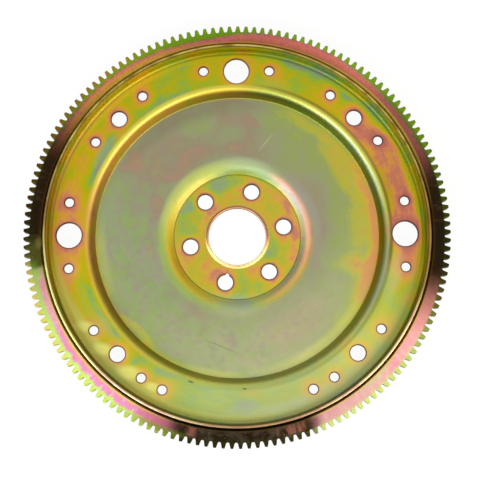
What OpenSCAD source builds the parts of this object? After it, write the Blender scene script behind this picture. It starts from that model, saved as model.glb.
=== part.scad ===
// Flexplate: a pressed steel drive plate with a starter ring gear round its rim.
// It bolts to the crankshaft at the hub and to the torque converter near the rim.
// Lies flat on the hub's back face, the converter side up, its axis along +Z.
// Angles run anticlockwise from +X, seen from the converter side.

/* [Ring gear] */
// Diameter over the tooth tips
gear_od = 336.55; // [330:0.05:345]
// Number of starter teeth
teeth = 157; // [140:1:170]
// Pressure angle of the involute flanks, degrees
pressure_angle = 14.5; // [14:0.5:20]
// Play taken off the tooth thickness at the pitch circle
tooth_play = 0.15; // [0:0.05:0.6]
// Direction of the tooth next to +X, degrees
gear_phase = 0.1; // [0:0.1:2.2]
// Width of the ring gear along the axis
gear_w = 9.5; // [8:0.1:11]
// Depth of the ring from the tooth roots to its bore
ring_depth = 10.8; // [9:0.1:13]
// Width of the bevel at the front of the ring's bore
ring_bevel = 2.2; // [1:0.1:3]
// Lead-in for the starter pinion at the back of the tooth tips
lead_in = 1.6; // [0.5:0.1:2.5]
// Direction of the ring's dressed butt joint, degrees
joint_at = 181.5; // [0:0.5:360]
// Length of the dressed mark along the ring's inner edge
joint_w = 14; // [8:0.5:20]
// How far the dressed mark reaches over the ring's front face
joint_reach = 3; // [1:0.1:4]

/* [Plate] */
// Thickness of the steel sheet
sheet_t = 2.5; // [2:0.1:3.5]
// Height of the rim's cut edge above the bolting ring
rim_h = 12; // [11:0.1:16]
// How far the rim's edge stands proud of the ring gear
rim_lip = 4; // [2:0.1:5]
// Inside radius of the bend at the foot of the rim
rim_bend = 3; // [2:0.1:4]
// Radius on both corners of the rim's cut edge
edge_round = 0.6; // [0.2:0.05:0.8]
// Diameter at the foot of the step down to the disc
step_d = 226.4; // [215:0.2:232]
// Drop from the bolting ring to the disc
step_drop = 8.5; // [5:0.1:9.5]
// Slope of the step's wall, degrees
step_slope = 60; // [45:1:75]
// Radius over the step's soft shoulder
step_shoulder = 5; // [4:0.1:7]
// Radius in the step's foot
step_foot = 0.8; // [0.4:0.1:2]

/* [Hub] */
// Diameter of the hub's flat face
hub_d = 101.2; // [98:0.2:110]
// Drop from the disc to the hub
hub_drop = 3; // [2:0.1:5]
// Slope of the hub's dished wall, degrees
hub_slope = 26; // [18:1:35]
// Radius over the shoulder of the hub's dish
hub_shoulder = 16; // [10:0.5:20]
// Radius in the foot of the hub's dish
hub_foot = 0.6; // [0.3:0.1:1.5]
// Diameter of the centre bore
bore_d = 46; // [40:0.2:52]
// Height of the raised lip round the bore
bore_lip = 1.2; // [0.6:0.1:1.4]
// Width of that lip, across the face
bore_lip_w = 3; // [2.6:0.1:4]
// Radius over the lip's crest
lip_crest = 0.6; // [0.3:0.1:0.7]

/* [Holes] */
// Bolt circle of the crankshaft flange
crank_pcd = 76.2; // [70:0.1:82]
// Diameter of the crankshaft bolt holes
crank_hole = 12.2; // [10:0.1:14]
// Direction of the first crankshaft hole, degrees
crank_phase = 12; // [0:0.5:30]
// Turn of the odd hole off its even place, degrees, so that the plate fits one way only
crank_odd = 3.5; // [1:0.5:6]
// Diameter of the timing notch at the odd hole
notch_d = 3; // [1.5:0.1:4]
// Bolt circle of the torque converter
drive_pcd = 266.7; // [262:0.1:270]
// Diameter of the converter bolt holes
drive_hole = 12.2; // [10:0.1:14]
// Diameter of the drain-plug access holes
access_hole = 20; // [16:0.1:22]
// Diameter of the small pierced holes
small_hole = 7.1; // [5:0.1:9]
// Distance of a small hole from the hole that it flanks
flank_pitch = 26.5; // [20:0.1:30]
// Angle of the two lone small holes off the bottom of the plate, degrees
lone_angle = 25.8; // [20:0.1:30]
// Rolled edge that the punch leaves round each hole
punch_roll = 0.4; // [0.2:0.05:0.6]

/* [Welds] */
// Number of weld beads behind the ring gear
beads = 8; // [4:1:16]
// Length of a bead along the joint
bead_l = 24; // [10:1:40]
// Radius of the bead's section
bead_r = 2.4; // [1.8:0.1:3]
// Direction of the first bead, degrees
bead_phase = 22.5; // [0:0.5:45]

/* [Hidden] */
$fn = 96;
steel_yellow = [0.72, 0.66, 0.22];
gear_bronze = [0.55, 0.42, 0.36];
weld_olive = [0.45, 0.42, 0.2];

// Heights, from the hub's back face up
hub_z = sheet_t;
disc_z = hub_z + hub_drop;
ring_z = disc_z + step_drop;
rim_z = ring_z + rim_h;
gear_front = rim_z - rim_lip;
gear_back = gear_front - gear_w;

// Gear circles, with standard tooth heights of 1 and 1.25 modules
tooth_module = gear_od / (teeth + 2);
pitch_r = teeth * tooth_module / 2;
tip_r = gear_od / 2;
root_r = pitch_r - 1.25 * tooth_module;
base_r = pitch_r * cos(pressure_angle);
tooth_half = (PI * tooth_module / 2 - tooth_play) / 2 / pitch_r * 180 / PI;
flank_steps = 3;
tooth_step = 360 / teeth;

// The rim takes its size from the ring gear's bore
seat_r = root_r - ring_depth;
rim_in = seat_r - sheet_t;
rim_centre = [rim_in - rim_bend, ring_z + rim_bend];
edge_z = rim_z - edge_round;
bend_steps = 16;
edge_steps = 4;
lip_steps = 8;
through = 1;

function polar(r, a) = [r * cos(a), r * sin(a)];
function arc(c, r, from, to, steps = bend_steps) =
    [for (i = [0:steps]) c + polar(r, from + (to - from) * i / steps)];
function involute(a) = tan(a) * 180 / PI - a;
function flank_angle(r) = tooth_half + involute(pressure_angle) - involute(acos(base_r / r));

// One tooth: up its flank, over the tip, down the other flank, then round the bottom of the gap
function gap_half(r) = tooth_step / 2 - flank_angle(r);
root_round = root_r * sin(gap_half(root_r));
root_top = root_r + root_round;
function flank(side) = [
    for (i = [0:flank_steps])
        let (r = side < 0 ? root_top + (tip_r - root_top) * i / flank_steps
                          : tip_r - (tip_r - root_top) * i / flank_steps)
            polar(r, side * flank_angle(r))
];
function gap() = let (w = root_top * sin(gap_half(root_top)))
    [for (a = [30:30:150])
        [root_top - root_round * sin(a), -w * cos(a)]];
function turned(points, a) = [for (p = points)
    [p[0] * cos(a) - p[1] * sin(a), p[0] * sin(a) + p[1] * cos(a)]];
function tooth() = concat(flank(-1), flank(1), turned(gap(), tooth_step / 2));

// Section of the sheet on its front side, from the bore out to the rim's edge, set down by depth
function dish_foot(foot_r, foot_z, radius, slope, depth) =
    let (bend = radius + depth, c = [foot_r - radius * tan(slope / 2), foot_z + radius])
        arc(c, bend, 270, 270 + slope);
function dish_shoulder(foot_r, foot_z, drop, radius, slope, depth) =
    let (reach = drop / tan(slope) + radius * tan(slope / 2))
        arc([foot_r + reach, foot_z + drop - radius], radius - depth, 90 + slope, 90);
function sheet_face(depth) = concat(
    dish_foot(hub_d / 2, hub_z, hub_foot, hub_slope, depth),
    dish_shoulder(hub_d / 2, hub_z, hub_drop, hub_shoulder, hub_slope, depth),
    dish_foot(step_d / 2, disc_z, step_foot, step_slope, depth),
    dish_shoulder(step_d / 2, disc_z, step_drop, step_shoulder, step_slope, depth),
    arc(rim_centre, rim_bend + depth, 270, 360)
);
function reversed(points) = [for (i = [len(points) - 1:-1:0]) points[i]];

// Lip of the bore: a round crest, then a hollow foot that runs out level with the face
bore_r = bore_d / 2;
lip_slope = 2 * atan(bore_lip / (bore_lip_w - lip_crest));
lip_foot = (bore_lip_w - lip_crest) / sin(lip_slope) - lip_crest;
crest_centre = [bore_r + lip_crest, hub_z + bore_lip - lip_crest];
foot_centre = [bore_r + bore_lip_w, hub_z + lip_foot];

module sheet_section() {
    polygon(concat(
        [[bore_r, 0]],
        arc(crest_centre, lip_crest, 180, 90 - lip_slope, lip_steps),
        arc(foot_centre, lip_foot, 270 - lip_slope, 270, lip_steps),
        sheet_face(0),
        arc([rim_in + edge_round, edge_z], edge_round, 180, 90, edge_steps),
        arc([seat_r - edge_round, edge_z], edge_round, 90, 0, edge_steps),
        reversed(sheet_face(sheet_t))
    ));
}

module punched(d, at, face_z) {
    translate([at[0], at[1], face_z - sheet_t]) {
        translate([0, 0, -through])
            cylinder(d = d, h = sheet_t + 2 * through);
        translate([0, 0, sheet_t - punch_roll])
            cylinder(d1 = d, d2 = d + 2 * punch_roll + 2 * through, h = punch_roll + through);
    }
}

// A converter or access hole with a small hole on each side of it, all in one line
module drive_group(d, a) {
    rotate(a) {
        punched(d, [drive_pcd / 2, 0], ring_z);
        for (side = [-1, 1])
            punched(small_hole, [drive_pcd / 2, side * flank_pitch], ring_z);
    }
}

module crank_holes() {
    count = 6;
    odd = 4;
    even_turn = 360 / count;
    for (i = [0:count - 1]) {
        a = crank_phase + even_turn * i + (i == odd ? crank_odd : 0);
        punched(crank_hole, polar(crank_pcd / 2, a), hub_z);
    }
    a = crank_phase + even_turn * odd + crank_odd;
    punched(notch_d, polar(crank_pcd / 2 - crank_hole / 2, a), hub_z);
}

module center_plate() {
    color(steel_yellow)
        difference() {
            rotate_extrude() sheet_section();
            crank_holes();
            for (a = [0, 90, 180])
                drive_group(access_hole, a);
            for (a = [45:90:315])
                drive_group(drive_hole, a);
            lone_r = norm([drive_pcd / 2, flank_pitch]);
            for (side = [-1, 1])
                punched(small_hole, polar(lone_r, 270 + side * lone_angle), ring_z);
        }
}

// Blank of the ring gear: bevelled bore in front, tooth tips eased behind
module ring_section() {
    polygon([
        [seat_r, gear_back],
        [tip_r - lead_in, gear_back],
        [tip_r + through, gear_back + lead_in + through],
        [tip_r + through, gear_front],
        [seat_r + ring_bevel, gear_front],
        [seat_r, gear_front - ring_bevel]
    ]);
}

// Shallow ground hollow where the rolled ring was joined end to end
module joint_mark() {
    edge_r = seat_r + ring_bevel;
    flat_r = (pow(joint_w / 2, 2) + pow(joint_reach, 2)) / (2 * joint_reach);
    ball_ratio = 5;
    ball_r = ball_ratio * flat_r;
    rotate(joint_at)
        translate([edge_r + joint_reach - flat_r, 0, gear_front + sqrt(pow(ball_r, 2) - pow(flat_r, 2))])
            sphere(ball_r);
}

module ring_gear() {
    color(gear_bronze)
        difference() {
            intersection() {
                translate([0, 0, gear_back - through])
                    linear_extrude(gear_w + 2 * through)
                        polygon([for (i = [0:teeth - 1]) each turned(tooth(), gear_phase + i * tooth_step)]);
                rotate_extrude() ring_section();
            }
            joint_mark();
        }
}

// Bead in the groove between the rim's bend and the back of the ring gear
module bead_section() {
    difference() {
        translate([seat_r - bead_r / 2, gear_back + bead_r / 4])
            circle(bead_r);
        translate(rim_centre)
            circle(rim_bend + sheet_t);
        translate([seat_r, gear_back])
            square([2 * bead_r, gear_w]);
        translate([rim_centre[0], rim_centre[1]])
            square([rim_bend + sheet_t, rim_h]);
    }
}

module weld_beads() {
    bead_turn = bead_l / seat_r * 180 / PI;
    color(weld_olive)
        for (i = [0:beads - 1])
            rotate(bead_phase + i * 360 / beads - bead_turn / 2)
                rotate_extrude(angle = bead_turn) bead_section();
}

center_plate();
ring_gear();
weld_beads();
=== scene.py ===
import bpy
from math import cos, pi, radians, sin
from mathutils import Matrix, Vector

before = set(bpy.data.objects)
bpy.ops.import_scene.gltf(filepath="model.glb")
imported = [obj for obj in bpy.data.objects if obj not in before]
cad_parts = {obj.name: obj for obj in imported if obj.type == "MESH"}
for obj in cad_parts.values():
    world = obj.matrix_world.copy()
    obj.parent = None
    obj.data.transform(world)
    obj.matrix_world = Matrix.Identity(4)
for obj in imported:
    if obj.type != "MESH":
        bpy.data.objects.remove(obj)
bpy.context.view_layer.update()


# Centre plate. One disc of 2.5 mm steel sheet, pressed into a stepped dish with a
# turned-up rim and pierced for its bolts, then zinc plated and passivated yellow.
# The clear film drifts in thickness, so its colour runs from pink to green.
class Shade:
    """A socket of a material's nodes. Arithmetic on it adds the nodes that work it out."""

    def __init__(self, tree, socket):
        self.tree = tree
        self.socket = socket

    def node(self, kind, settings, sockets, out=0):
        made = self.tree.nodes.new(kind)
        for name, setting in settings.items():
            if name == "stops":
                self.set_stops(made.color_ramp, setting)
            else:
                setattr(made, name, setting)
        for key, value in sockets.items():
            if isinstance(value, Shade):
                self.tree.links.new(value.socket, made.inputs[key])
            else:
                made.inputs[key].default_value = value
        return Shade(self.tree, made.outputs[out])

    @staticmethod
    def set_stops(ramp, stops):
        ramp.elements[0].position = stops[0][0]
        ramp.elements[0].color = stops[0][1]
        ramp.elements[-1].position = stops[-1][0]
        ramp.elements[-1].color = stops[-1][1]
        for place, colour in stops[1:-1]:
            ramp.elements.new(place).color = colour

    def feed(self, shader, name):
        """Links this socket to a named socket of a shader."""
        self.tree.links.new(self.socket, shader.inputs[name])

    def math(self, operation, *values):
        return self.node("ShaderNodeMath", {"operation": operation}, dict(enumerate(values)))

    def __add__(self, other):
        return self.math("ADD", self, other)

    def __sub__(self, other):
        return self.math("SUBTRACT", self, other)

    def __rsub__(self, other):
        return self.math("SUBTRACT", other, self)

    def __mul__(self, other):
        return self.math("MULTIPLY", self, other)

    def __truediv__(self, other):
        return self.math("DIVIDE", self, other)

    def __rtruediv__(self, other):
        return self.math("DIVIDE", other, self)

    def __pow__(self, other):
        return self.math("POWER", self, other)

    def __rpow__(self, other):
        return self.math("POWER", other, self)

    def __mod__(self, other):
        return self.math("FLOORED_MODULO", self, other)

    def __rmod__(self, other):
        return self.math("FLOORED_MODULO", other, self)

    __radd__ = __add__
    __rmul__ = __mul__

    def least(self, other):
        return self.math("MINIMUM", self, other)

    def most(self, other):
        return self.math("MAXIMUM", self, other)

    def size(self):
        return self.math("ABSOLUTE", self)

    def rise(self, start, end):
        """A soft step from 0 at start to 1 at end."""
        return self.node("ShaderNodeMapRange", {"interpolation_type": "SMOOTHSTEP"},
                         {"Value": self, "From Min": start, "From Max": end})

    def between(self, low, high, soft):
        """1 from low to high, with soft edges."""
        return self.rise(low - soft, low + soft) * (1 - self.rise(high - soft, high + soft))

    def vector(self, operation, other, out=0):
        return self.node("ShaderNodeVectorMath", {"operation": operation}, {0: self, 1: other}, out)

    def part(self, axis):
        return self.node("ShaderNodeSeparateXYZ", {}, {0: self}, axis)

    def noise(self, grain, detail=2.0, out=0):
        """Cloudy noise with lumps of about the given size."""
        sockets = {"Vector": self, "Scale": 1 / grain, "Detail": detail}
        return self.node("ShaderNodeTexNoise", {}, sockets, out)

    def blend(self, under, over):
        """The colour under, with the colour over laid on by this amount."""
        return self.node("ShaderNodeMix", {"data_type": "RGBA"}, {0: self, 6: under, 7: over}, 2)

    def ramp(self, stops):
        return self.node("ShaderNodeValToRGB", {"stops": stops}, {0: self})


def tint(red, green, blue):
    """A colour from its 0 to 255 screen values."""
    linear = [((v / 255 + 0.055) / 1.055) ** 2.4 for v in (red, green, blue)]
    return (*linear, 1.0)


def plating(name, roughness):
    """A new metal finish: the material, its shader and the place on the part in millimetres."""
    material = bpy.data.materials.new(name)
    material.use_nodes = True
    shader = material.node_tree.nodes["Principled BSDF"]
    shader.inputs["Metallic"].default_value = 1
    shader.inputs["Roughness"].default_value = roughness
    start = Shade(material.node_tree, None)
    metres = start.node("ShaderNodeTexCoord", {}, {}, "Object")
    return material, shader, metres.vector("MULTIPLY", (1000, 1000, 1000))


DEGREE = pi / 180


def round_axis(level):
    """A place seen round the axis: its angle in degrees and its radius."""
    x, y = level.part(0), level.part(1)
    return x.math("ARCTAN2", y, x) / DEGREE % 360, (x * x + y * y) ** 0.5


def patches(turn, radius, spots):
    """Soft patches added up. Each has an angle, a radius, how far it spreads round the axis in
    degrees and across in millimetres before it has faded by half, and how much it adds."""
    core, half, edge = 0.2, 0.6, 1
    highest, lowest = (180, 999, 9), (-180, -999, -9)
    polar = turn.node("ShaderNodeCombineXYZ", {}, {0: turn, 1: radius})
    total = 0
    for angle, out, spread, width, amount in spots:
        off = polar.vector("SUBTRACT", (angle, out, 0))
        off = off.node("ShaderNodeVectorMath", {"operation": "WRAP"}, {0: off, 1: highest, 2: lowest})
        reach = off.vector("DIVIDE", (spread / half, width / half, 1)).vector("LENGTH", (0, 0, 0), 1)
        total = reach.rise(edge, core) * amount + total
    return total


plate, plate_shader, place = plating("yellow_plated_sheet", 0.5)
plate_shader.inputs["Coat Roughness"].default_value = 0.27
level = place.vector("MULTIPLY", (1, 1, 0))
turn, radius = round_axis(level)
height = place.part(2)
facing = place.node("ShaderNodeNewGeometry", {}, {}, "Normal").part(2)


def to_point(angle, out, across):
    """Distance to a point at a radius and a sideways offset in the direction of an angle."""
    along = radius * angle.math("COSINE", angle * DEGREE) - out
    aside = radius * angle.math("SINE", angle * DEGREE)
    if across:
        aside = aside.size() - across
    return (along * along + aside * aside) ** 0.5


# Distance to the edge of the nearest hole, from the holes' own pattern
BOLT_R, FLANK = 133.35, 26.5
ACCESS_R, DRIVE_R, SMALL_R, CRANK_R = 10.0, 6.1, 3.55, 6.1
BOTTOM, FAR = 270, 99
eighth = (turn + 22.5) % 45 - 22.5
at_drive = ((turn + 45) % 90 - 45).size().rise(22, 23)
bare_bottom = (turn - BOTTOM).size().rise(23, 22)
main_gap = to_point(eighth, BOLT_R, 0) - ACCESS_R + at_drive * (ACCESS_R - DRIVE_R)
ring_gap = main_gap.least(to_point(eighth, BOLT_R, FLANK) - SMALL_R) + bare_bottom * FAR
LONE_R, LONE_TURN = 135.96, 25.8
lone_gap = to_point((turn - BOTTOM).size() - LONE_TURN, LONE_R, 0) - SMALL_R
CRANK_BOLT_R, CRANK_PHASE, ODD_TURN, ODD_SHIFT = 38.1, 12, 255.5, 3.5
sixth = (turn - CRANK_PHASE + 30) % 60 - 30 - (turn - ODD_TURN).size().rise(28, 27) * ODD_SHIFT
hole_gap = ring_gap.least(lone_gap).least(to_point(sixth, CRANK_BOLT_R, 0) - CRANK_R)

# Film thickness: one base, with noise, patches for each ring of the dish, and thin haloes round the holes
RING_PATCHES = [
    (20, 133.5, 23, 13, -0.33), (40, 129, 9, 7, -0.12), (3, 132, 6, 9, -0.1), (4, 146, 8, 4, 0.24),
    (42, 146, 26, 4, 0.3), (72, 144, 9, 5, 0.22), (70, 131, 8, 10, 0.06), (110, 134, 9, 12, 0.1),
    (122, 125, 12, 4, 0.2), (147, 125, 10, 4.5, 0.3), (158, 126, 7, 5, 0.16), (157, 141, 8, 6, -0.12),
    (122, 143, 9, 4, -0.08), (170, 134, 9, 12, -0.16), (186, 132, 7, 12, -0.17), (228, 125.5, 25, 3.5, 0.24),
    (198, 141, 11, 7, -0.08), (226, 142, 12, 5, 0.12), (258, 134, 18, 14, 0.15), (300, 134, 26, 14, 0.14),
    (305, 147, 22, 3, 0.24), (312, 125.5, 17, 4.5, 0.18), (261, 133, 4, 6, -0.1), (273, 134, 5, 7, 0.2),
    (349, 134, 5, 10, -0.14), (356, 133, 5, 12, -0.22), (95, 142, 12, 5, 0.08), (333, 129, 10, 10, 0.12),
]
DISC_PATCHES = [
    (8, 112.5, 26, 7, -0.5), (54, 110, 16, 6, -0.26), (340, 111, 14, 7, -0.42), (16, 101, 42, 8, -0.22),
    (24, 91, 45, 9, -0.1), (346, 92, 4, 16, -0.26), (10, 69, 36, 6, 0.14), (118, 86, 46, 24, 0.14),
    (84, 90, 5, 6, 0.14), (91, 109, 6, 4, 0.1), (145, 103, 7, 5, 0.18), (126, 71, 13, 6, 0.04),
    (135, 69, 4, 3, 0.1), (160, 71, 7, 4, 0.2), (180, 69, 9, 5, 0.22), (269, 84, 5, 5, 0.16),
    (240, 69, 9, 4, 0.14), (203, 92, 4, 5, 0.1), (108, 97, 8, 7, -0.2), (94, 84, 8, 7, -0.12),
    (157, 100, 7, 8, -0.14), (171, 82, 6, 16, -0.14), (72, 102, 8, 10, -0.08), (220, 95, 14, 14, -0.08),
    (196, 98, 7, 10, -0.12), (193, 110, 5, 4, -0.16), (215, 112, 50, 4, -0.26), (325, 105, 9, 6, -0.16),
    (303, 85, 18, 14, 0.12), (60, 78, 16, 9, -0.06), (100, 74, 35, 7, 0.08), (20, 105, 20, 4, -0.1),
]
CONE_PATCHES = [
    (340, 58.5, 45, 4, -0.14), (20, 58.5, 30, 4, -0.16), (160, 55, 18, 5, -0.1), (205, 54, 24, 5, -0.06),
    (215, 60, 26, 2, 0.18), (268, 56, 24, 6, 0.26), (75, 56, 16, 5, 0.2), (100, 56, 12, 5, 0.1),
    (150, 115.5, 55, 4, -0.16), (208, 117, 28, 4, -0.12), (36, 115, 30, 3, 0.2), (166, 119, 12, 3, -0.12),
]
HUB_PATCHES = [
    (103, 45, 16, 7, 0.22), (158, 45, 17, 7, 0.22), (338, 30.5, 16, 4.5, 0.22), (8, 47, 14, 4, -0.24),
    (34, 47, 10, 3, -0.12), (60, 47, 12, 3, -0.1), (240, 35, 8, 6, -0.26), (312, 47, 14, 3.5, -0.2),
    (0, 42, 18, 8, -0.08), (352, 46, 14, 5, -0.05), (296, 36, 14, 6, -0.1), (280, 30, 30, 3, -0.08),
    (342, 46, 14, 4, -0.2), (273, 40, 10, 9, 0.18), (226, 33, 10, 6, -0.14), (88, 39, 7, 2.5, -0.22),
    (150, 29, 25, 2.5, -0.24), (36, 43, 14, 5, -0.12), (200, 48, 10, 3, -0.1), (170, 40, 10, 6, 0.08),
]
WANDER_GRAIN, WANDER_REACH = 24.0, (18, 18, 0)
wander = place.noise(WANDER_GRAIN, 0.0, 1).vector("SUBTRACT", (0.5, 0.5, 0.5))
drift_turn, drift_radius = round_axis(level.vector("ADD", wander.vector("MULTIPLY", WANDER_REACH)))
DISC_IN, DISC_OUT, HUB_R = 60, 113, 51
on_disc = radius.between(DISC_IN, DISC_OUT, 2.5)
on_hub = 1 - radius.rise(HUB_R - 1, HUB_R + 1)
STREAK_TURN, STREAK_WIDTH = 6, 1.8
streaks = turn.node("ShaderNodeCombineXYZ", {}, {0: turn / STREAK_TURN, 1: radius / STREAK_WIDTH}).noise(1.0)
cloud, fleck = place.noise(15.0, 1.0) - 0.5, place.noise(3.5, 1.0) - 0.5
BASE_FILM, THIN_FILM, HALO_FILM = 0.57, 0.21, 0.08
film = BASE_FILM - on_hub * 0.02 + cloud * (0.5 + on_hub * 0.3) + fleck * 0.2 + (streaks - 0.5) * 0.3
film = film + (1 - on_disc) * patches(drift_turn, drift_radius, RING_PATCHES)
film = (film + patches(turn, radius, CONE_PATCHES + HUB_PATCHES)).most(THIN_FILM)
RING_HALO, HUB_HALO = 4, 2.5
falloff = hole_gap / (on_hub * (RING_HALO - HUB_HALO) - RING_HALO)
halo = falloff.math("EXPONENT", falloff) * (0.92 - patches(turn, radius, [(90, 134, 12, 16, 0.4)]))
film = film * (1 - halo) + halo * HALO_FILM
FILM_COLOURS = [
    (0.0, tint(92, 54, 48)), (0.12, tint(166, 94, 90)), (0.23, tint(197, 122, 90)),
    (0.34, tint(204, 146, 60)), (0.46, tint(190, 162, 10)), (0.57, tint(170, 166, 12)),
    (0.68, tint(148, 168, 42)), (0.78, tint(132, 160, 82)), (0.88, tint(126, 150, 118)),
    (1.0, tint(146, 132, 124)),
]
plate_colour = film.ramp(FILM_COLOURS)

# The disc's film is thicker and duller, from orange and yellow through grey-green to mauve and pink
DISC_FILM = 0.53
disc_film = DISC_FILM + cloud * 0.25 + fleck * 0.14 + (streaks - 0.5) * 0.1
disc_film = disc_film + patches(drift_turn, drift_radius, DISC_PATCHES)
DISC_COLOURS = [
    (0.0, tint(206, 142, 86)), (0.14, tint(196, 164, 52)), (0.28, tint(170, 170, 62)),
    (0.42, tint(144, 156, 90)), (0.56, tint(147, 148, 114)), (0.7, tint(150, 135, 111)),
    (0.85, tint(170, 130, 110)), (1.0, tint(190, 128, 108)),
]
plate_colour = on_disc.blend(plate_colour, disc_film.ramp(DISC_COLOURS))

# Clouds over the flats: cool and beige patches, painted light as paler patches mostly on the near side, the
# disc's mottling, yellow drain stains with painted glints, lighter haloes round the holes on the near side,
# and a slightly paler hub
cool = patches(turn, radius, [
    (195, 84, 36, 26, 0.35), (343, 119.5, 20, 3, 0.7), (165, 106, 14, 8, 0.35),
    (147, 126, 6, 3.5, 0.6), (214, 125.5, 7, 3, 0.4),
])
plate_colour = cool.blend(plate_colour, tint(146, 156, 132))
# Painted light: lighter patches, mostly on the near side of the ring and disc and on the cone's near part
pale = patches(turn, radius, [
    (282, 131, 36, 22, 0.48), (268, 56, 26, 8, 0.4), (292, 90, 56, 24, 0.4), (304, 143, 36, 6, 0.45),
    (222, 143, 22, 5, 0.45), (345, 128, 8, 6, 0.4),
])
plate_colour = pale.blend(plate_colour, tint(178, 184, 142))
beige = patches(turn, radius, [(303, 86, 18, 12, 0.4), (275, 100, 8, 6, 0.2)])
plate_colour = beige.blend(plate_colour, tint(180, 162, 132))
dapple = place.noise(7.0, 2.0) - 0.5
mottled = on_disc * (0.14 + patches(turn, radius, [(195, 90, 50, 30, 0.36), (275, 88, 30, 26, 0.12)]))
plate_colour = (dapple.rise(-0.03, 0.2) * mottled).blend(plate_colour, tint(136, 164, 92))
plate_colour = (dapple.rise(0.03, -0.2) * mottled).blend(plate_colour, tint(154, 138, 132))
# Yellow drain stains beside the near holes, with painted light: yellow glints on the near side of the ring
# and the disc
stain_and_glint = patches(turn, radius, [
    (256, 145.4, 50, 2.8, 0.5), (203, 145, 14, 3, 0.6), (320, 131, 18, 9, 0.45), (308, 110, 24, 4.5, 0.5),
    (260, 111, 10, 3, 0.4), (190, 109, 14, 4, 0.25), (214, 141, 8, 4, 0.3), (240, 141, 6, 5, 0.4),
])
plate_colour = stain_and_glint.least(0.8).blend(plate_colour, tint(206, 206, 108))
NEAR_FROM, NEAR_TO = 190, 350
near_side = turn.between(NEAR_FROM, NEAR_TO, 14)
plate_colour = (halo * near_side * (1 - on_hub) * 0.7).blend(plate_colour, tint(214, 172, 84))
plate_colour = (on_hub * 0.1).blend(plate_colour, tint(210, 196, 150))

# On the bends of the step and of the hub's cone, where pressing stretched the sheet: grey, pink and green
# film, painted highlights in mint, yellow and gold where the bends catch the lamps, and painted shade in dim
# hollows
# Painted highlight: a pale mint glint on the step's shoulder
shoulder_glint = patches(turn, radius, [(34, 118.8, 26, 2.8, 0.85)])
plate_colour = shoulder_glint.blend(plate_colour, tint(140, 154, 130))
lilac = patches(turn, radius, [
    (30, 53.5, 34, 2.6, 0.5), (38, 57.5, 26, 4, 0.7), (18, 64, 34, 3.5, 0.4), (330, 52.8, 32, 2.2, 0.6),
])
plate_colour = lilac.blend(plate_colour, tint(160, 150, 152))
mint = patches(turn, radius, [(84, 58.5, 24, 5, 0.8)])
plate_colour = mint.blend(plate_colour, tint(176, 192, 150))
rosy = patches(turn, radius, [(330, 56.4, 36, 2.0, 0.4), (14, 57.2, 30, 2.0, 0.6), (50, 57, 12, 2.4, 0.5)])
plate_colour = rosy.blend(plate_colour, tint(232, 176, 150))
# Painted highlights: pale yellow on the hub's cone and a line on the step's shoulder
butter = patches(turn, radius, [
    (132, 59.5, 34, 4, 0.8), (126, 54, 32, 2.6, 0.4), (172, 59.5, 18, 3.5, 0.4), (45, 121.2, 25, 1.0, 0.5),
])
plate_colour = butter.blend(plate_colour, tint(186, 196, 112))
# Painted highlights: honey yellow along the step's shoulder and on the cone
honey = patches(turn, radius, [(112, 119, 46, 2.8, 0.5), (165, 119, 22, 2.8, 0.5), (145, 52, 34, 2.0, 0.6)])
plate_colour = honey.blend(plate_colour, tint(196, 160, 80))
# Painted highlights: gold on the cone and along the step's shoulder, and a gold patch on the ring
gold = patches(turn, radius, [(215, 54.6, 34, 4, 0.7), (215, 120.3, 36, 1.2, 0.6), (206, 145, 12, 3, 0.4)])
plate_colour = gold.blend(plate_colour, tint(206, 172, 40))
leafy = patches(turn, radius, [
    (208, 61, 34, 3, 0.65), (262, 118.8, 40, 3, 0.5), (76, 118.8, 12, 3, 0.5), (225, 144, 18, 4, 0.3),
    (77, 125, 7, 5, 0.4), (208, 131, 12, 5, 0.3),
])
plate_colour = leafy.blend(plate_colour, tint(150, 174, 78))
# Painted highlights: thin straw-yellow lines along the step's shoulder
straw = patches(turn, radius, [
    (238, 117.4, 42, 2.2, 0.7), (38, 120.2, 32, 1.4, 0.8), (106, 120.5, 42, 1.7, 0.8),
    (152, 120.4, 14, 1.6, 0.5),
])
plate_colour = straw.least(0.85).blend(plate_colour, tint(208, 198, 76))
# Painted shade: dim hollows at the foot of the cone and of the step, and dim patches beside the shoulder
dim = patches(turn, radius, [
    (56, 52.6, 40, 2.6, 0.3), (112, 53.4, 44, 3.4, 0.34), (76, 118.8, 12, 3, 0.2), (112, 108, 28, 8, 0.2),
    (34, 122.5, 36, 1.5, 0.4), (344, 122.2, 34, 1.7, 0.35), (14, 126, 12, 3, 0.15), (70, 116.4, 16, 1.5, 0.4),
    (2, 117.6, 14, 2, 0.35), (355, 122.4, 5, 2, 0.15), (66, 122.4, 14, 1.6, 0.2),
    (290, 122, 24, 1.8, 0.2), (20, 134, 14, 9, 0.1),
])
plate_colour = dim.blend(plate_colour, tint(50, 60, 30))


def mark(x, y, angle, half_length, half_width):
    """A straight streak: 1 along its middle, fading to its ends and sides."""
    off = level.node("ShaderNodeMapping", {"vector_type": "TEXTURE"},
                     {"Vector": level, "Location": (x, y, 0), "Rotation": (0, 0, radians(angle)),
                      "Scale": (half_length, half_width, 1)})
    return off.node("ShaderNodeTexGradient", {"gradient_type": "SPHERICAL"}, {0: off}, 1).rise(0, 0.7)


# Drained yellow streaks beside the near left holes, a pale scratch on the disc and the bore's lip, painted
# lighter on its near side
lemon = mark(-120, -72.5, 170, 11, 6) + mark(-106, -90.5, 168, 12, 7)
lemon = lemon + mark(-85, -109, 166, 14, 8) + mark(-66.5, -120, 166, 8, 5)
plate_colour = (lemon * 0.95).blend(plate_colour, tint(212, 206, 112))
scratch = mark(23.4, 76.4, 51, 14, 0.8) * 0.4
plate_colour = scratch.blend(plate_colour, tint(205, 185, 150))
LIP_IN, LIP_OUT = 25.4, 26.2
lip = (1 - radius.rise(LIP_IN, LIP_OUT)) * 0.85
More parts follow.
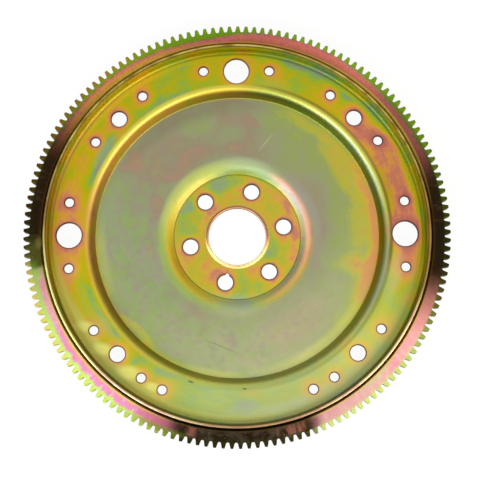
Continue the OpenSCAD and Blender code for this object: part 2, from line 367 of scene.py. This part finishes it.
# Painted light on the bore's lip: cream on the near side, darker pink-brown on the far side
lip_light_and_shade = near_side.blend(tint(206, 146, 116), tint(236, 200, 140))
plate_colour = lip.blend(plate_colour, lip_light_and_shade)

# Painted shade on the step's wall, the bend of the rim and the hole walls and edges, with a dark line in the
# crease at the foot of the hub's cone, two nicks and a scratch; then a painted highlight on the lit part of
# the rim's bend
WALL_IN, WALL_OUT, RIM_INSIDE = 113.2, 116.8, 148
wall = radius.between(WALL_IN, WALL_OUT, 0.6) * (0.2 + patches(turn, radius, [(44, 115, 46, 9, 0.5)]))
near_bend = near_side * radius.rise(146.4, 149.5) * 0.5
far_line = radius.between(146.7, 147.1, 0.3) * (0.7 - patches(turn, radius, [(132, 147, 26, 9, 0.45)]))
far_bend = radius.between(147.2, 149.8, 0.7) * (0.6 - patches(turn, radius, [(130, 148, 24, 9, 0.14)]))
bend = near_bend.most((1 - near_side) * far_line.most(far_bend))
foot_line = radius.between(50.3, 51.0, 0.3) * 0.6
hole_wall = (1 - facing.size().rise(0.3, 0.5)) * (1 - radius.rise(RIM_INSIDE, RIM_INSIDE + 0.5)) * 0.9
hole_lip = (1 - hole_gap.rise(0.3, 1.2)) * 0.9
hole_lip = hole_lip.most((1 - hole_gap.rise(0.3, 2.4)) * on_hub * 0.45)
dashes = patches(turn, radius, [(252.5, 121.8, 1.0, 0.6, 0.7), (272.5, 122, 0.7, 0.6, 0.7)])
dashes = dashes + mark(-13, -88, -23, 19, 0.8) * 0.24
# Painted shade, together with the dark line, the nicks and the scratch
shade_and_marks = wall.most(bend).most(foot_line).most(hole_wall).most(hole_lip).most(dashes)
plate_colour = shade_and_marks.blend(plate_colour, tint(46, 40, 12))
# Painted highlight on the lit part of the rim's bend, then a pink-brown line laid over it
flare = patches(turn, radius, [(132, 145.8, 26, 2.4, 0.5)])
plate_colour = flare.blend(plate_colour, tint(208, 178, 30))
blush_line = patches(turn, radius, [(150, 147.4, 24, 0.9, 0.6)])
plate_colour = blush_line.blend(plate_colour, tint(190, 124, 84))

# Sheared edge of the rim, with light and shade painted by side: bright on the near side as a painted
# highlight with a line of painted shade along it, duller on the far side, with darker stretches
EDGE_FOOT, EDGE_TOP = 25.2, 25.5
rim_edge = height.rise(EDGE_FOOT, EDGE_TOP)
uneven = place.noise(12.0, 2.0)
# Sheared texture, painted lighter for the near side and darker for the far side
lit_shear = uneven.ramp([(0.35, tint(216, 168, 142)), (0.5, tint(236, 204, 176)), (0.65, tint(236, 214, 160))])
shaded_shear = uneven.ramp([(0.35, tint(140, 118, 44)), (0.65, tint(206, 188, 96))])
edge_colour = turn.between(188, 340, 10).blend(shaded_shear, lit_shear)
dark_edge = patches(turn, radius, [
    (276, 152, 22, 5, 0.75), (350, 152, 12, 5, 0.75), (8, 152, 14, 5, 0.75), (170, 152, 12, 5, 0.7),
])
edge_colour = dark_edge.least(0.8).blend(edge_colour, tint(140, 104, 64))
# Painted highlight on the edge towards the left lamp
bright_edge = patches(turn, radius, [(204, 152, 18, 5, 0.8)])
edge_colour = bright_edge.blend(edge_colour, tint(234, 226, 134))
# Painted shade: a thin dark line along the near side of the edge
split_shade = radius.between(151.65, 151.85, 0.12) * near_side * 0.7
edge_colour = split_shade.blend(edge_colour, tint(70, 44, 24))
# Painted shade on the edge's inner corner
inner_corner_shade = (1 - radius.rise(151.0, 151.3)) * 0.85
edge_colour = inner_corner_shade.blend(edge_colour, tint(84, 66, 20))
plate_colour = rim_edge.blend(plate_colour, edge_colour)
plate_colour.feed(plate_shader, "Base Color")
gloss = 0.15 + radius.between(50.6, 60, 2) * 0.18 + radius.between(116, 121, 1) * 0.45
gloss.feed(plate_shader, "Coat Weight")
satin = 0.5 + cloud * 0.1 + fleck * 0.1
satin.feed(plate_shader, "Roughness")
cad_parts["center_plate"].data.materials[0] = plate


# Ring gear. A rolled steel bar, butt-joined into a ring, turned on its faces and cut
# with starter teeth, then pressed over the rim, welded behind and plated together with it.
gear, gear_shader, place = plating("plated_turned_gear", 0.5)
gear_shader.inputs["Anisotropic"].default_value = 0.8
gear_shader.inputs["Anisotropic Rotation"].default_value = 0.25
turn, radius = round_axis(place)
SEAT_R, FACE_WIDTH = 153, 16
TOOL_TURN, TOOL_WIDTH = 1.4, 11
across = (radius - SEAT_R) / FACE_WIDTH
streak = turn.node("ShaderNodeCombineXYZ", {}, {0: turn / TOOL_TURN, 1: radius / TOOL_WIDTH})
streak = streak.noise(1.0, 4.0) - 0.5
wobble, grain = place.noise(6.0) - 0.5, place.noise(1.4, 3.0) - 0.5
turn_edge = turn + wobble * 2

# Four colourings, each running from the seat out to the teeth: mauve, rose and blush film, and a dark one,
# dark film with painted shade for where the turned face reflects no lamp
gear_film = across + streak * 0.6 + wobble * 0.12
# sheen: painted light streaks along the turning marks; flush: darker pink streaks
sheen, flush = streak.rise(0.0, 0.25) * 0.5, streak.rise(0.0, -0.25) * 0.6
# Painted shade: the dark stretches where the turned face reflects no lamp
dark_painted_shade = gear_film.ramp([
    (0.1, tint(62, 42, 26)), (0.3, tint(50, 34, 24)), (0.6, tint(48, 42, 20)), (1.0, tint(50, 56, 22)),
])
dark_painted_shade = sheen.blend(dark_painted_shade, tint(96, 72, 52))
shift = patches(turn, radius, [(70, 160, 19, 20, -0.16), (100, 160, 9, 20, 0.16), (34, 160, 14, 20, 0.04)])
mauve = (gear_film + shift).ramp([
    (0.0, tint(190, 106, 84)), (0.16, tint(190, 108, 84)), (0.32, tint(208, 108, 100)),
    (0.48, tint(190, 98, 112)), (0.57, tint(116, 116, 46)), (0.66, tint(100, 130, 28)),
    (1.0, tint(122, 122, 48)),
])
olive = patches(turn, radius, [(134, 156.5, 17, 3.2, 0.85), (113, 156, 12, 2.2, 0.6)])
mauve = olive.least(0.9).blend(mauve, tint(204, 158, 50))
mauve = (grain.rise(0, 0.2) * 0.65).blend(mauve, tint(150, 84, 110))
mauve = (grain.rise(0, -0.2) * 0.55).blend(mauve, tint(190, 120, 60))
leaf = patches(turn, radius, [
    (104, 163.2, 15, 3.4, 0.9), (130, 164.2, 18, 2.2, 0.9), (42, 163.4, 15, 2.6, 0.7), (92, 164.6, 8, 2, 0.6),
])
mauve = leaf.least(0.9).blend(mauve, tint(112, 152, 24))
rose = gear_film.ramp([
    (0.1, tint(214, 188, 96)), (0.18, tint(214, 150, 120)), (0.3, tint(208, 124, 158)),
    (0.44, tint(200, 132, 172)), (0.5, tint(210, 138, 150)), (0.58, tint(166, 192, 92)),
    (0.72, tint(180, 196, 104)), (1.0, tint(200, 186, 122)),
])
rose = patches(turn, radius, [(197, 157.5, 10, 4, 0.6)]).blend(rose, tint(236, 164, 176))
blush = gear_film.ramp([
    (0.1, tint(190, 146, 108)), (0.2, tint(198, 138, 144)), (0.35, tint(202, 142, 156)),
    (0.55, tint(200, 144, 148)), (0.7, tint(178, 178, 120)), (1.0, tint(180, 196, 130)),
])
rose, blush = [sheen.blend(colour, tint(222, 186, 176)) for colour in (rose, blush)]
rose, blush = [flush.blend(colour, tint(206, 116, 140)) for colour in (rose, blush)]
lime = patches(turn, radius, [(198, 163.4, 14, 3.2, 0.9), (222, 164, 18, 2, 0.5), (190, 160, 2.5, 6, 0.6)])
rose = lime.least(0.9).blend(rose, tint(176, 208, 100))
blush = patches(turn, radius, [(304, 160, 12, 20, 0.55)]).blend(blush, tint(178, 148, 146))
blush = patches(turn, radius, [(314, 156.5, 5, 2.5, 0.5)]).blend(blush, tint(160, 180, 130))
blush = patches(turn, radius, [(332, 159, 8, 9, 0.5)]).blend(blush, tint(228, 168, 172))

# The stretches of the ring that each film covers, with uneven ends, laid over the dark one of painted shade;
# glow is painted light that brings up part of the mauve stretch
glow = patches(turn, radius, [(74, 160, 24, 30, 0.7), (122, 160, 18, 30, 0.34)])
in_mauve = turn_edge.between(21, 150, 9) * (0.6 + glow)
in_rose = turn_edge.rise(188.4, 190.6) * (1 - turn.rise(244, 253))
in_blush = turn_edge.rise(289.5, 295.5) * (1 - turn_edge.rise(333, 348))
gear_colour = in_blush.blend(in_rose.blend(in_mauve.blend(dark_painted_shade, mauve), rose), blush)
russet = turn_edge.between(332, 344, 6) * 0.5
gear_colour = russet.blend(gear_colour, tint(204, 128, 108))
plum = patches(turn, radius, [(246, 159, 5, 8, 0.75)])
gear_colour = plum.blend(gear_colour, tint(178, 94, 112))

# The cut teeth, whose colour changes round the ring, dark as painted shade in the ring's dark stretches
tooth_colour = (turn / 360).ramp([
    (0.0, tint(60, 58, 22)), (0.07, tint(104, 132, 28)), (0.2, tint(122, 154, 38)),
    (0.28, tint(114, 154, 28)), (0.36, tint(138, 118, 44)), (0.43, tint(108, 88, 30)),
    (0.49, tint(58, 50, 20)), (0.518, tint(58, 50, 20)), (0.522, tint(212, 198, 116)),
    (0.58, tint(204, 188, 102)), (0.64, tint(174, 192, 88)), (0.69, tint(146, 156, 68)),
    (0.705, tint(50, 46, 20)), (0.805, tint(58, 56, 22)), (0.815, tint(180, 192, 122)),
    (0.9, tint(162, 180, 98)), (0.94, tint(104, 106, 46)), (0.97, tint(58, 52, 22)),
    (1.0, tint(60, 58, 22)),
])
ROOT_IN, ROOT_OUT = 0.6, 0.74
gear_colour = across.rise(ROOT_IN, ROOT_OUT).blend(gear_colour, tooth_colour)

# Small stains: a green fringe and moss where one film meets the next, smudges and specks
fringe = turn_edge.between(187.6, 189.4, 1.2) * across.between(0.38, 0.66, 0.16) * 0.6
gear_colour = fringe.blend(gear_colour, tint(118, 176, 58))
moss = patches(turn, radius, [(186, 159, 4, 14, 0.45), (248, 163.6, 6, 2.5, 0.7)])
gear_colour = moss.blend(gear_colour, tint(120, 124, 46))
smudge = turn_edge.between(256, 258, 0.8) + turn_edge.between(282, 289, 2) * streak.rise(-0.1, 0.15)
gear_colour = (smudge * across.between(0.15, 0.6, 0.06) * 0.6).blend(gear_colour, tint(176, 100, 90))
specks = place.noise(1.6).rise(0.66, 0.72) * turn.between(180, 292, 6) * 0.5
gear_colour = specks.blend(gear_colour, tint(150, 140, 110))

# Turned line and gilt film beside the seat, the line dark on the ring's painted-shade stretch, haze on the
# dark part, the butt joint, and painted shade in the groove against the rim, wider on the near side
inner_line = across.between(0.1, 0.16, 0.03) * 0.8
line_colour = in_rose.most(in_blush).most(in_mauve).blend(tint(92, 70, 22), tint(204, 172, 72))
gear_colour = inner_line.blend(gear_colour, line_colour)
gilt = patches(turn, radius, [(40, 155, 22, 1.2, 0.9), (126, 155, 16, 1.2, 0.6)])
gear_colour = gilt.blend(gear_colour, tint(220, 184, 84))
haze = turn.between(254, 290, 4) * across.between(0.12, 0.7, 0.1) * wobble.rise(-0.1, 0.15) * 0.35
gear_colour = haze.blend(gear_colour, tint(104, 98, 80))
joint = patches(turn, radius, [(182.6, 156, 1.4, 3, 0.4)])
gear_colour = joint.blend(gear_colour, tint(168, 156, 84))
# Painted shade in the groove against the rim, wider on the near side
groove_shade = 1 - across.rise(0.03, 0.07)
groove_shade = groove_shade.most((1 - across.rise(0.07, 0.15)) * turn.between(NEAR_FROM, NEAR_TO, 10) * 0.7)
gear_colour = groove_shade.blend(gear_colour, tint(18, 13, 6))
gear_colour.feed(gear_shader, "Base Color")
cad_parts["ring_gear"].data.materials[0] = gear


# Weld beads. Short runs of weld metal in the groove behind the ring gear, which hold
# it to the rim, plated with the rest.
weld, weld_shader, place = plating("plated_weld_metal", 0.6)
weld_colour = place.noise(2.0, 3.0).ramp([(0.35, tint(110, 92, 40)), (0.65, tint(170, 158, 60))])
weld_colour.feed(weld_shader, "Base Color")
ripple = place.node("ShaderNodeBump", {}, {"Strength": 0.6, "Distance": 0.001, "Height": place.noise(1.5)})
ripple.feed(weld_shader, "Normal")
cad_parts["weld_beads"].data.materials[0] = weld


# Floor. A plain pale surface under the plate, which shows white to the camera and in
# the metal, and keeps a little of the plate's soft shadow.
bpy.ops.mesh.primitive_plane_add(size=20)
floor = bpy.context.object
floor.name = "floor"
paper = bpy.data.materials.new("pale_floor")
paper.use_nodes = True
paper_shader = paper.node_tree.nodes["Principled BSDF"]
paper_shader.inputs["Base Color"].default_value = (0.85, 0.85, 0.85, 1)
paper_shader.inputs["Roughness"].default_value = 1
lit = Shade(paper.node_tree, paper_shader.outputs[0])
white = lit.node("ShaderNodeEmission", {}, {"Strength": 1.0})
WHITE_SHARE = 0.94
by_camera, by_gloss, by_glass = [
    lit.node("ShaderNodeLightPath", {}, {}, ray)
    for ray in ("Is Camera Ray", "Is Glossy Ray", "Is Transmission Ray")
]
seen = by_camera.most(by_gloss).most(by_glass) * WHITE_SHARE
shown = lit.node("ShaderNodeMixShader", {}, {0: seen, 1: lit, 2: white})
shown.feed(paper.node_tree.nodes["Material Output"], "Surface")
floor.data.materials.append(paper)


# Lamps. A cool soft box on the near left, a warm one on the near right, a dim strip
# overhead and a dim wall of light behind, in a dark studio.
def soft_box(name, azimuth, zenith, distance, size, power, colour):
    """A lamp aimed at the plate from a direction in degrees, with its size in metres and power in watts."""
    lamp = bpy.data.lights.new(name, "AREA")
    lamp.shape = "RECTANGLE"
    lamp.size, lamp.size_y = size
    lamp.energy = power
    lamp.color = colour
    holder = bpy.data.objects.new(name, lamp)
    away = Vector((cos(radians(azimuth)) * sin(radians(zenith)),
                   sin(radians(azimuth)) * sin(radians(zenith)), cos(radians(zenith))))
    holder.location = away * distance
    holder.rotation_euler = away.to_track_quat("Z", "Y").to_euler()
    bpy.context.scene.collection.objects.link(holder)


soft_box("left_box", 219, 48, 1.6, (1.3, 1.1), 31, (0.9, 1.0, 0.98))
soft_box("right_box", 319, 48, 1.6, (1.2, 1.1), 31, (1.0, 0.92, 0.78))
soft_box("overhead_strip", 80, 22, 1.8, (1.6, 0.8), 5, (1.0, 1.0, 1.0))
soft_box("back_wall", 90, 55, 1.8, (2.4, 1.0), 6, (1.0, 1.0, 1.0))
studio = bpy.data.worlds.new("dark_studio")
studio.use_nodes = True
studio.node_tree.nodes["Background"].inputs["Color"].default_value = (0.16, 0.16, 0.16, 1)
bpy.context.scene.world = studio


# Camera. Above the plate's near edge, a little over a metre up, looking down at its middle.
bpy.context.scene.view_settings.view_transform = "Standard"
camera = bpy.data.objects.new("camera", bpy.data.cameras.new("camera"))
camera.data.sensor_width = 36
camera.data.lens = 106.03
PIXEL = 1 / 480
camera.data.shift_x = -0.5 * PIXEL
camera.data.shift_y = 0.5 * PIXEL
camera.location = (0.0058, -0.1705, 1.1221)
camera.rotation_euler = (radians(8.504), radians(0.203), radians(-0.284))
bpy.context.scene.collection.objects.link(camera)
bpy.context.scene.camera = camera
